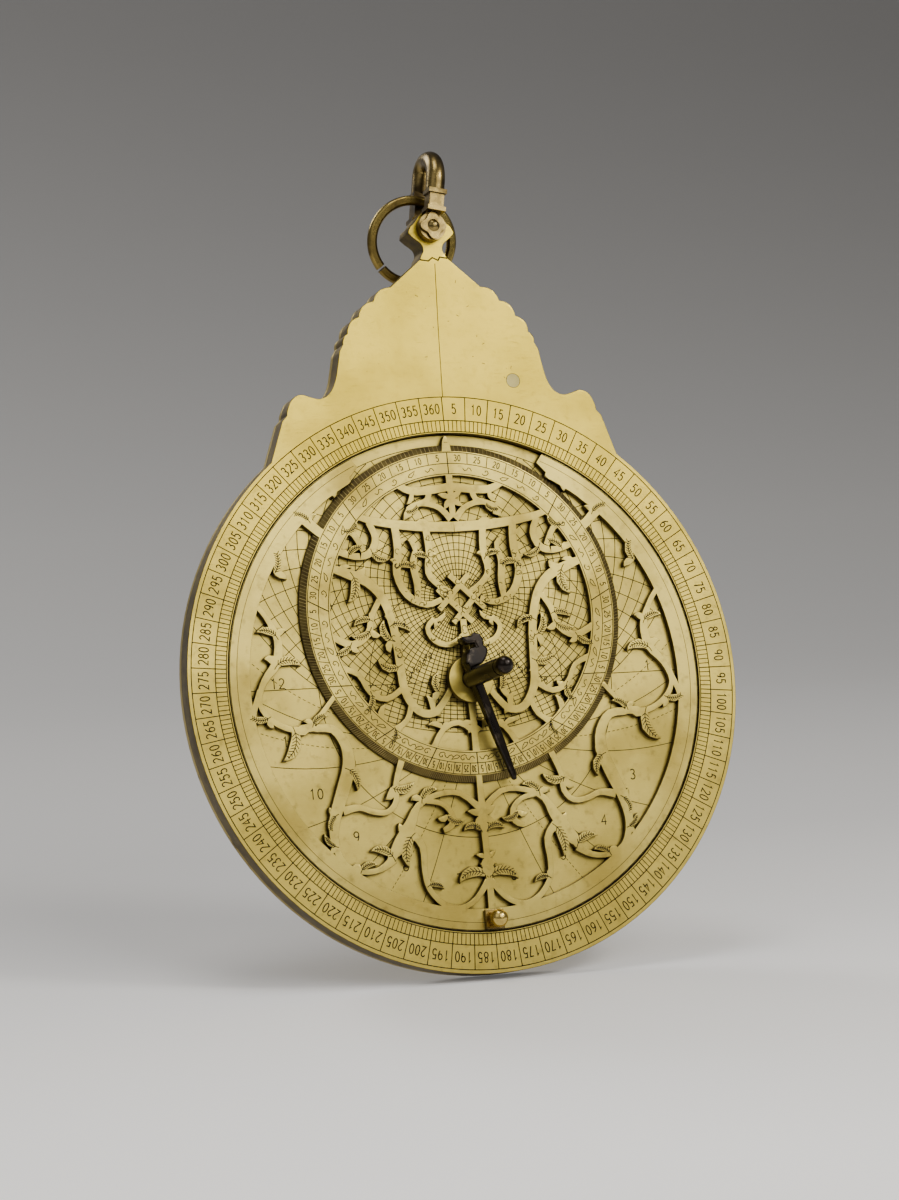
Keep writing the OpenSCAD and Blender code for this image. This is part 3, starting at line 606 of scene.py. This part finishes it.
NUMERALS = {
    "0": [bow(0.28, 0.5, 0.25, 0.48, 90, 450, 16)],
    "1": [[(0.12, 0.78), (0.30, 0.98), (0.30, 0.0)]],
    "2": [bow(0.28, 0.72, 0.24, 0.26, 160, -35) + [(0.04, 0.02), (0.54, 0.02)]],
    "3": [bow(0.26, 0.75, 0.22, 0.23, 150, -90), bow(0.26, 0.27, 0.25, 0.26, 90, -150)],
    "4": [[(0.42, 0.0), (0.42, 0.98), (0.04, 0.32), (0.56, 0.32)]],
    "5": [[(0.50, 0.97), (0.12, 0.97), (0.09, 0.56)] + bow(0.27, 0.31, 0.25, 0.30, 120, -150)],
    "6": [[(0.44, 0.97)] + bow(0.34, 0.32, 0.30, 0.55, 130, 190, 5)
          + bow(0.28, 0.29, 0.24, 0.28, 180, 540, 14)],
    "7": [[(0.05, 0.97), (0.53, 0.97), (0.20, 0.0)]],
    "8": [bow(0.28, 0.75, 0.19, 0.22, -90, 270, 14), bow(0.28, 0.27, 0.25, 0.26, 90, 450, 14)],
    "9": [bow(0.28, 0.70, 0.24, 0.27, 0, 360, 14) + bow(0.22, 0.66, 0.30, 0.62, 0, -60, 5)],
}
ADVANCE = 0.78
NUMERAL_W = 0.56


def number(text, degrees, r, high, width, at=(0, 0), out=1, wide=1.0):
    """A number on a circle round a middle, clockwise from the top.

    out is -1 for a face that is seen from behind, and wide stretches the numerals.
    """
    a = math.radians(degrees)
    middle = Vector((at[0] + r * math.sin(a), at[1] + r * math.cos(a)))
    across = Vector((math.cos(a), -math.sin(a))) * out
    away = Vector((math.sin(a), math.cos(a)))
    start = -0.5 * (ADVANCE * (len(text) - 1) + NUMERAL_W) * high * wide
    lines = []
    for i, letter in enumerate(text):
        for stroke in NUMERALS[letter]:
            shaped = []
            for x, z in stroke:
                along = start + (ADVANCE * i + x) * high * wide
                shaped.append(middle + across * along + away * (z - 0.5) * high)
            lines.append((shaped, width, False))
    return lines


print("numerals:", "".join(sorted(NUMERALS)))

# %% [markdown]
# ## The rim's scale
# The rim is divided into 360 degrees. A narrow ladder marks single degrees, and above it a ring
# of 72 cells holds the count in fives, clockwise from the throne.

# %% Engrave the rim
RETE_R = (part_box("rete")[1].x - CENTRE.x) / MM
RIM_IN = RETE_R + 0.25
RIM_CELL_OUT = 84.3
RIM_CELL_IN = 77.2
RIM_TICK_IN = 73.9
RIM_LINE = 0.30
RIM_TICK = 0.25
RIM_NUMERAL = 3.0


def rim_scale():
    """Circles, cells, degree marks and numbers of the rim, with a painted shade circle at its inner edge.
    """
    lines = [circle(r, RIM_LINE) for r in (RIM_CELL_OUT, RIM_CELL_IN, RIM_TICK_IN)]
    # Painted shade: a dark circle at the rim's inner edge stands for the shade in the gap beside the star
    # map.
    lines.append(circle(RIM_IN + 0.12, 0.2))
    for degree in range(360):
        five = degree % 5 == 0
        lines.append(spoke(degree, RIM_TICK_IN, RIM_CELL_OUT if five else RIM_CELL_IN,
                           RIM_LINE if five else RIM_TICK))
    middle = (RIM_CELL_OUT + RIM_CELL_IN) / 2
    for fives in range(5, 361, 5):
        lines += number(str(fives), fives - 2.5, middle, RIM_NUMERAL, 0.36, wide=0.78)
    return lines


engrave("rim_scale", "mater", 0, rim_scale())

# %% [markdown]
# ## Plumb line on the throne
# One fine line runs from the neck of the throne down to the rim. It shows where the instrument's
# upright lies. The throne leans a little, and so does its line.

# %% Engrave the throne
finial_low, finial_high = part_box("throne_finial")
neck = Vector(((finial_low.x + finial_high.x) / 2 - CENTRE.x, finial_low.z - CENTRE.z)) / MM
foot = Vector((0.4, RIM_CELL_OUT))
plumb = [neck + Vector((0.2, -0.8)), neck.lerp(foot, 0.5), foot]
engrave("throne_line", "mater", 0, [(plumb, 0.22, False)])

# %% [markdown]
# ## The sky, flattened
# A plate shows the sky above one latitude, seen from the pole and squashed flat. A circle of
# altitude stays a circle in this projection, and so does an azimuth, which is why a maker could
# draw it all with a compass. The sums below place those circles from the latitude alone.

# %% Lay out the projection
plate_low, plate_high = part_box("climate_plate_1")
PLATE_R = (plate_high.x - plate_low.x) / 2 / MM
SKY_SHARE = 0.957
SKY_R = SKY_SHARE * PLATE_R
TILT = math.radians(23.5)
EQUATOR_R = SKY_R * math.tan((math.pi / 2 - TILT) / 2)
CANCER_R = EQUATOR_R * math.tan((math.pi / 2 - TILT) / 2)
LATITUDE = math.radians(36.5)
print("sky", round(SKY_R, 1), "equator", round(EQUATOR_R, 1), "Cancer", round(CANCER_R, 1))


def altitude_circle(degrees):
    """Middle height and radius of the circle of one altitude."""
    a = math.radians(degrees)
    share = EQUATOR_R / (math.sin(LATITUDE) + math.sin(a))
    return share * math.cos(LATITUDE), share * math.cos(a)


HORIZON_UP, HORIZON_R = altitude_circle(0)
CLEAR_UP, CLEAR_R = altitude_circle(81)


def above_horizon(x, z):
    """True for a point of the plate where the sky is above the horizon."""
    return math.hypot(x, z - HORIZON_UP) <= HORIZON_R + LEAST


def runs(points, keep, width):
    """Splits a curve into the stretches whose points are kept."""
    made, stretch = [], []
    for p in points:
        if keep(*p):
            stretch.append(p)
        else:
            made.append((stretch, width, False))
            stretch = []
    made.append((stretch, width, False))
    return [line for line in made if len(line[0]) > 1]


def round_points(x, z, r, parts):
    """Points of a circle, closed by its first one."""
    return [(x + r * math.sin(2 * math.pi * i / parts), z - r * math.cos(2 * math.pi * i / parts))
            for i in range(parts + 1)]


# %% [markdown]
# ## Altitudes, azimuths and hours
# Circles of altitude stand every three degrees and crowd round the point overhead. Azimuths stand
# every five degrees and fan out towards the horizon, but stop short of the point overhead, where
# they would run together. Below the horizon run the lines of the unequal hours, with a few broken
# ones between them. All end at the plate's outer circle.

# %% Engrave the top plate
SKY_LINE = 0.25
MAIN_LINE = 0.24
HOUR_LINE = 0.22
HOUR_STEPS = 12
HALF_HOURS = (1, 3, 9, 15, 21, 23)
DASHES = 30


def in_sky(x, z):
    """True inside the outer circle of the sky."""
    return math.hypot(x, z) <= SKY_R


def hour_point(share, radius):
    """The point of an unequal hour on one day's circle: share 0 is sunset and 1 is sunrise."""
    cosine = (HORIZON_R ** 2 - radius ** 2 - HORIZON_UP ** 2) / (-2 * radius * HORIZON_UP)
    half_night = math.pi - math.acos(max(-1, min(1, cosine)))
    a = math.pi + half_night * (1 - 2 * share)
    return radius * math.sin(a), radius * math.cos(a)


def day_circle(share):
    """The radius of a day's circle: 0 is the sun's smallest and 1 its largest."""
    return CANCER_R + (SKY_R - CANCER_R) * share


def azimuth_shows(x, z):
    """True where azimuths are drawn: above the horizon, but not near the point overhead."""
    return in_sky(x, z) and above_horizon(x, z) and math.hypot(x, z - CLEAR_UP) > CLEAR_R


def plate_lines():
    """All lines of a climate plate."""
    lines = [circle(r, MAIN_LINE) for r in (SKY_R, EQUATOR_R, CANCER_R)]
    lines += [([(0, -SKY_R), (0, SKY_R)], MAIN_LINE, False), ([(-SKY_R, 0), (SKY_R, 0)], MAIN_LINE, False)]
    for altitude in range(0, 90, 3):
        up_by, r = altitude_circle(altitude)
        lines += runs(round_points(0, up_by, r, 300 if altitude < 30 else 120), in_sky, SKY_LINE)
    down = -EQUATOR_R * math.tan(LATITUDE)
    for azimuth in range(-85, 90, 5):
        a = math.radians(azimuth)
        side = EQUATOR_R * math.tan(a) / math.cos(LATITUDE)
        r = EQUATOR_R / math.cos(LATITUDE) / math.cos(a)
        parts = int(min(1400, 300 + 10 * r))
        lines += runs(round_points(side, down, r, parts), azimuth_shows, SKY_LINE)
    for hour in range(1, 12):
        radii = [day_circle(i / HOUR_STEPS) for i in range(HOUR_STEPS + 1)]
        lines.append(([hour_point(hour / 12, r) for r in radii], HOUR_LINE, False))
    for half in HALF_HOURS:
        for i in range(DASHES):
            ends = [hour_point(half / 24, day_circle((i + s) / DASHES)) for s in (0.2, 0.75)]
            lines.append((ends, 0.2, False))
    return lines


plate_face = depth("climate_plate_1", 0)
engrave("plate_lines", "mater", plate_face, plate_lines())

# %% [markdown]
# ## Numbers on the plate
# Every second circle of altitude carries its height in degrees, up to 48, on both sides of the
# middle line, and each hour its number below the horizon.

# %% Number the plate
ALTITUDE_NUMERAL = 1.8
HOUR_NUMERAL = 3.0
HOUR_NUMBERS_AT = 0.83


def plate_numbers():
    """Small numbers by the altitude circles and between the hour lines."""
    lines = []
    for altitude in range(6, 49, 6):
        up_by, r = altitude_circle(altitude)
        for turned in (150, 210):
            a = math.radians(turned)
            spot = (r * math.sin(a), up_by + r * math.cos(a))
            lines += number(str(altitude), 0, 0, ALTITUDE_NUMERAL, 0.24, at=spot)
    for hour in range(12):
        spot = hour_point((hour + 0.5) / 12, HOUR_NUMBERS_AT * SKY_R)
        lines += number(str(12 - hour), 0, 0, HOUR_NUMERAL, 0.34, at=spot)
    return lines


engrave("plate_numbers", "mater", plate_face, plate_numbers())

# %% [markdown]
# ## The zodiac ring
# The ring on the star map is the sun's path. Its bevel and its cells are divided by lines that
# all point to the pole in the middle of the disc, so the divisions are close together at the
# bottom and wide at the top. Twelve signs of thirty degrees are cut into cells of five. An inner
# band holds plain flourishes, and the bevel one bright stroke for each degree.

# %% Engrave the zodiac ring
ZODIAC_R = (SKY_R + CANCER_R) / 2
ZODIAC_UP = (SKY_R - CANCER_R) / 2
ZODIAC_MID = ZODIAC_R - 5.6
ZODIAC_LOW = ZODIAC_R - 8.7
ZODIAC_NUMERAL = 1.9
BEVEL_W = 2.0
BEVEL_T = 1.0
rete_face = depth("rete", 0)


def sun_direction(longitude):
    """The direction from the pole to one degree of the sun's path, as a unit step."""
    a = math.radians(longitude)
    right_ascension = math.atan2(math.cos(TILT) * math.sin(a), math.cos(a))
    return Vector((-math.cos(right_ascension), -math.sin(right_ascension)))


def reach_ring(direction, r):
    """The point where a ray from the pole meets a circle round the ring's middle."""
    along = direction.y * ZODIAC_UP
    return direction * (along + math.sqrt(along ** 2 + r ** 2 - ZODIAC_UP ** 2))


def ring_angle(longitude, r):
    """How far round the ring's own middle a longitude lies at radius r, in degrees from the top."""
    spot = reach_ring(sun_direction(longitude), r)
    return math.degrees(math.atan2(spot.x, spot.y - ZODIAC_UP))


def across_ring(longitude, r_in, r_out, width):
    """A line across part of the ring."""
    direction = sun_direction(longitude)
    return [reach_ring(direction, r_in), reach_ring(direction, r_out)], width, False


def zodiac_scale():
    """Circles, cells, numbers and flourishes of the ring's flat face."""
    outer = ZODIAC_R - BEVEL_W - 0.3
    lines = [circle(r, 0.24, (0, ZODIAC_UP)) for r in (outer, ZODIAC_MID, ZODIAC_LOW)]
    for longitude in range(0, 360, 5):
        r_in, width = (ZODIAC_MID, 0.24) if longitude % 30 else (ZODIAC_LOW, 0.32)
        lines.append(across_ring(longitude, r_in, outer, width))
    middle = (outer + ZODIAC_MID) / 2
    for longitude in range(0, 360, 5):
        a, b = (reach_ring(sun_direction(longitude + more), ZODIAC_MID) for more in (0, 5))
        wide = min(0.8, (a - b).length / 4.4)
        lines += number(str(longitude % 30 + 5), ring_angle(longitude + 2.5, middle), middle,
                        ZODIAC_NUMERAL, 0.27, (0, ZODIAC_UP), wide=wide)
    middle = (ZODIAC_MID + ZODIAC_LOW) / 2
    for sign in range(12):
        for fives in range(1, 6):
            turned = ring_angle(30 * sign + 5 * fives, middle)
            lines.append(scroll(turned, middle, (sign + fives) % 3))
    return lines


SCROLLS = (
    [(-1.1, -0.5), (-0.5, -0.9), (0.4, -0.6), (0.8, 0.1), (0.3, 0.7), (-0.3, 0.5), (-0.2, 0.0)],
    [(-1.4, 0.2), (-0.8, -0.5), (-0.1, -0.2), (0.3, 0.5), (0.9, 0.4), (1.4, -0.4)],
    [(-1.2, -0.4), (-0.2, -0.7), (0.7, -0.1), (1.3, 0.8), (0.3, 0.5), (-0.5, 0.3), (-1.2, -0.4)],
)


def scroll(turned, r, kind):
    """A small plain flourish on the ring's inner band: a hook, a wave or a leaf."""
    a = math.radians(turned)
    across, away = Vector((math.cos(a), -math.sin(a))), Vector((math.sin(a), math.cos(a)))
    middle = Vector((0, ZODIAC_UP)) + away * r
    return [middle + across * x + away * z for x, z in SCROLLS[kind]], 0.24, False


engrave("zodiac_scale", "rete", rete_face, zodiac_scale())


def bevel_fall(p):
    """How far the bevel lies behind the ring's face."""
    beyond = (p - Vector((0, ZODIAC_UP))).length - (ZODIAC_R - BEVEL_W)
    return max(0, beyond) * BEVEL_T / BEVEL_W


bevel_in, bevel_out = ZODIAC_R - BEVEL_W + 0.1, ZODIAC_R - 0.08
bevel_marks = [across_ring(degree, bevel_in, bevel_out, 0.17) for degree in range(360)]
engrave("bevel_marks", "rete", rete_face, bevel_marks, ink="bright_engraving", slope=bevel_fall)

# %% [markdown]
# ## Veins of the leaves
# Every leaf of the star map is drawn with a burin: a midrib with short slanting strokes. The
# leaves stand where the solid has them. A stroke may never hang over a hole, so each point is
# tried with a ray against the solid, and only the stretches that lie on metal are cut. The band
# has one thin line along it and a painted shade line along its edge by the rim, kept on the metal
# in the same way. The table holds each leaf's place, angle, length and bend, as the solid's source
# has them.

# %% Engrave the star map's leaves
rete_tree = BVHTree.FromObject(frame["nodes"]["rete"], bpy.context.evaluated_depsgraph_get())
to_rete = frame["nodes"]["rete"].matrix_world.inverted()
RAY_FROM = 5
RAY_REACH = 5.1


def on_metal(x, z, margin=0.14):
    """True where the star map's face lies under this point and a little way round it."""
    for dx, dz in ((0, 0), (margin, 0), (-margin, 0), (0, margin), (0, -margin)):
        start = to_rete @ place(x + dx, rete_face - RAY_FROM, z + dz)
        if rete_tree.ray_cast(start, Vector((0, 1, 0)), RAY_REACH * MM)[0] is None:
            return False
    return True


LEAVES = (
    (40, -24, 205, 7, 60), (44.6, -37, 330, 5.5, -50), (27.2, -30, 215, 7.5, -60),
    (18.4, -34.4, 100, 6.5, 70), (11, -39, 250, 6, -70), (22, -44, 320, 9.5, -50),
    (28.6, -50.4, 65, 7.5, -60), (58.6, 6.6, 130, 8, 70),
    (55, -11.8, 250, 10, 60), (62, -8, 330, 6, 50), (57.6, 15, 60, 6.5, -60), (1, -57, 40, 9, -70),
    (1, -44, 60, 6, -80), (45.5, -46, 20, 5, 40), (18.8, -59, 150, 5, 60), (56.6, 33.4, 130, 7, -45),
    (44.6, 48.4, 60, 5.5, -50), (49.2, -10.8, 110, 5.5, 60), (38.8, -53.4, 120, 5.5, 60),
    (14.8, 50.4, 200, 5, -60), (8.8, 36, 60, 5.5, -70), (18.8, 34, 140, 6, 70), (33, 32.2, 240, 8.5, 60),
    (33.6, 37.8, 110, 5.5, 60), (22.4, 17, 150, 6.5, 70), (29, 16, 300, 6.5, 60), (21, 5, 330, 7, 60),
    (30.6, -2.6, 250, 6, 60), (35.4, 11.9, 300, 6, 50), (26.4, 39, 250, 6, -60), (9.4, -3.4, 40, 6.5, 70),
    (22.6, 12.4, 20, 7, 70), (34.4, 45.2, 200, 5.5, -70), (24.4, -13, 250, 5, 60), (28.4, 18.6, 30, 6, -60),
)
HOOK = 1.5
ARC_SHARE = 1.08
VEIN = 0.25


def leaf_spine(x, z, angle, length, bend, t, out=0):
    """A point along a curving leaf, out to its side by some millimetres."""
    arc = length * ARC_SHARE / math.radians(bend * HOOK)
    a, b = math.radians(angle), math.radians(angle + bend * HOOK * t)
    return (x + arc * (math.sin(b) - math.sin(a)) - out * math.sin(b),
            z + arc * (math.cos(a) - math.cos(b)) + out * math.cos(b))


def leaf_veins():
    """A midrib and slanting strokes on every leaf, left and right."""
    lines = []
    for leaf in LEAVES:
        for hand in (1, -1):
            strokes = [[leaf_spine(*leaf, 0.04 * i) for i in range(-3, 22)]]
            for i in range(1, 9):
                t = 0.1 * i
                for out in (0.17, -0.17):
                    far = leaf_spine(*leaf, t + 0.09, out * leaf[3] * 0.7)
                    near = leaf_spine(*leaf, t, out * 0.6)
                    strokes.append([tuple(Vector(near).lerp(Vector(far), s / 4)) for s in range(5)])
            for stroke in strokes:
                lines += runs([(hand * x, z) for x, z in stroke], on_metal, VEIN)
    return lines


def band_line():
    """A thin line along the outer band, where the band is."""
    return runs(round_points(0, 0, PLATE_R - 2.4, 720), on_metal, 0.15)


def band_dirt():
    """A painted shade line along the band's edge, beside the gap to the rim."""
    return runs(round_points(0, 0, RETE_R - 0.24, 720), lambda x, z: on_metal(x, z, 0.05), 0.22)


engrave("leaf_veins", "rete", rete_face, leaf_veins())
engrave("band_line", "rete", rete_face, band_line(), ink="faint_engraving")
# Painted shade: a dark line on the band's edge stands for the shade in the gap to the rim.
engrave("band_dirt", "rete", rete_face, band_dirt(), ink="faint_engraving")

# %% [markdown]
# ## Small marks and wear
# The interlaced lozenge over the hub and the stems near it are covered in small curls, wherever
# they have room. The throne has been dropped and scraped, so it carries a few nicks, and dirt
# fills the ragged joint across its neck.

# %% Engrave the lozenge and nick the throne
CURL_TRIES = 500
NICK_TRIES = 34
chance = random.Random(7)


def curl(x, z, size, angle):
    """A small hooked curl."""
    turns = [angle + 0.7 * i for i in range(7)]
    return [(x + size * (0.35 + 0.1 * i) * math.cos(a), z + size * (0.35 + 0.1 * i) * math.sin(a))
            for i, a in enumerate(turns)]


def lozenge_curls():
    """Curls wherever the metal round the lozenge and along the stem has room for them."""
    lines = []
    for _ in range(CURL_TRIES):
        x, z = chance.uniform(-22, 22), chance.uniform(8, 44)
        if on_metal(x, z, 0.6):
            lines += runs(curl(x, z, 1.1, chance.uniform(0, 6.28)), on_metal, 0.22)
    return lines


def nicks():
    """Short scrapes and pits on the throne."""
    lines = []
    for _ in range(NICK_TRIES):
        x, z = chance.uniform(-24, 26), chance.uniform(88, 120)
        if abs(x) > 34 - (z - 86) * 0.75:
            continue
        a, long = chance.uniform(0, 6.28), chance.choice((0.15, 0.2, 0.3, 0.5, 0.9))
        lines.append(([(x, z), (x + long * math.cos(a), z + long * math.sin(a))], 0.16, False))
    return lines


RAGGED = 1.2


def neck_crack():
    """The ragged joint of the neck, from the lowest points of the finial's own face."""
    node = frame["nodes"]["throne_finial"]
    corners = [(node.matrix_world @ v.co - CENTRE) / MM for v in node.data.vertices]
    low = min(p.z for p in corners)
    ragged = sorted({(round(p.x, 2), round(p.z, 2)) for p in corners
                     if abs(p.y) < 0.01 and p.z < low + RAGGED})
    print("crack of", len(ragged), "points from", ragged[0], "to", ragged[-1])
    return [(ragged, 0.42, False)]


engrave("neck_crack", "mater", 0, neck_crack())
engrave("lozenge_curls", "rete", rete_face, lozenge_curls())
engrave("throne_nicks", "mater", 0, nicks(), ink="faint_engraving")

# %% [markdown]
# ## The back
# The photograph doesn't show the back, so it has the usual scales in their plainest form: degrees
# of altitude along the upper rim, a quadrant of sines at the upper left, a quadrant of arcs at the
# upper right and a shadow square below. Left and right are those of a reader who stands behind.

# %% Engrave the back
back_face = depth("back_plate", 1)
BACK_OUT, BACK_MID, BACK_IN = 83.5, 79.5, 77
QUADRANT_GAP, QUADRANT_REACH = 6, 74
ARC_FIRST, ARC_ANGLES = 10, [math.radians(4 + 1.64 * i) for i in range(51)]
SQUARE_TOP, SQUARE_IN, SQUARE_OUT = -8, 34, 40
BACK_LINE, BACK_FINE = 0.24, 0.2


def back_scales():
    """Altitude scale, two quadrants and a shadow square, seen from behind."""
    lines = [circle(r, BACK_LINE) for r in (BACK_OUT, BACK_MID, BACK_IN)]
    for degree in range(-90, 91):
        r_out, width = (BACK_MID, 0.18) if degree % 5 else (BACK_OUT, BACK_LINE)
        lines.append(spoke(degree, BACK_IN, r_out, width))
    for five in range(5, 91, 5):
        for hand in (1, -1):
            lines += number(str(five), hand * (92.5 - five), (BACK_OUT + BACK_MID) / 2, 2.4, 0.26,
                            out=-1, wide=0.8)
    for hand in (1, -1):
        corner = (hand * QUADRANT_GAP, QUADRANT_GAP)
        lines.append(([corner, (hand * QUADRANT_GAP, QUADRANT_REACH)], BACK_LINE, False))
        lines.append(([corner, (hand * QUADRANT_REACH, QUADRANT_GAP)], BACK_LINE, False))
    for part in range(1, 13):
        z = QUADRANT_GAP + (QUADRANT_REACH - QUADRANT_GAP) * part / 13
        end = math.sqrt((QUADRANT_REACH + 1) ** 2 - z ** 2)
        lines.append(([(QUADRANT_GAP, z), (end, z)], BACK_FINE, False))
        r = ARC_FIRST + (QUADRANT_REACH - ARC_FIRST) * part / 12
        lines.append(([(-r * math.sin(a), r * math.cos(a)) for a in ARC_ANGLES], BACK_FINE, False))
    low_in, low_out = SQUARE_TOP - SQUARE_IN, SQUARE_TOP - SQUARE_OUT
    lines.append(([(-SQUARE_OUT, SQUARE_TOP), (SQUARE_OUT, SQUARE_TOP), (SQUARE_OUT, low_out),
                   (-SQUARE_OUT, low_out)], 0.26, True))
    lines.append(([(-SQUARE_IN, SQUARE_TOP), (-SQUARE_IN, low_in), (SQUARE_IN, low_in),
                   (SQUARE_IN, SQUARE_TOP)], BACK_FINE, False))
    for part in range(1, 13):
        for hand in (1, -1):
            x_in, x_out = (hand * reach * part / 12 for reach in (SQUARE_IN, SQUARE_OUT))
            z_in, z_out = (SQUARE_TOP - reach * part / 12 for reach in (SQUARE_IN, SQUARE_OUT))
            lines.append(([(x_in, low_in), (x_out, low_out)], BACK_FINE, False))
            lines.append(([(hand * SQUARE_IN, z_in), (hand * SQUARE_OUT, z_out)], BACK_FINE, False))
    return lines


engrave("back_scales", "mater", back_face, back_scales(), back=True)
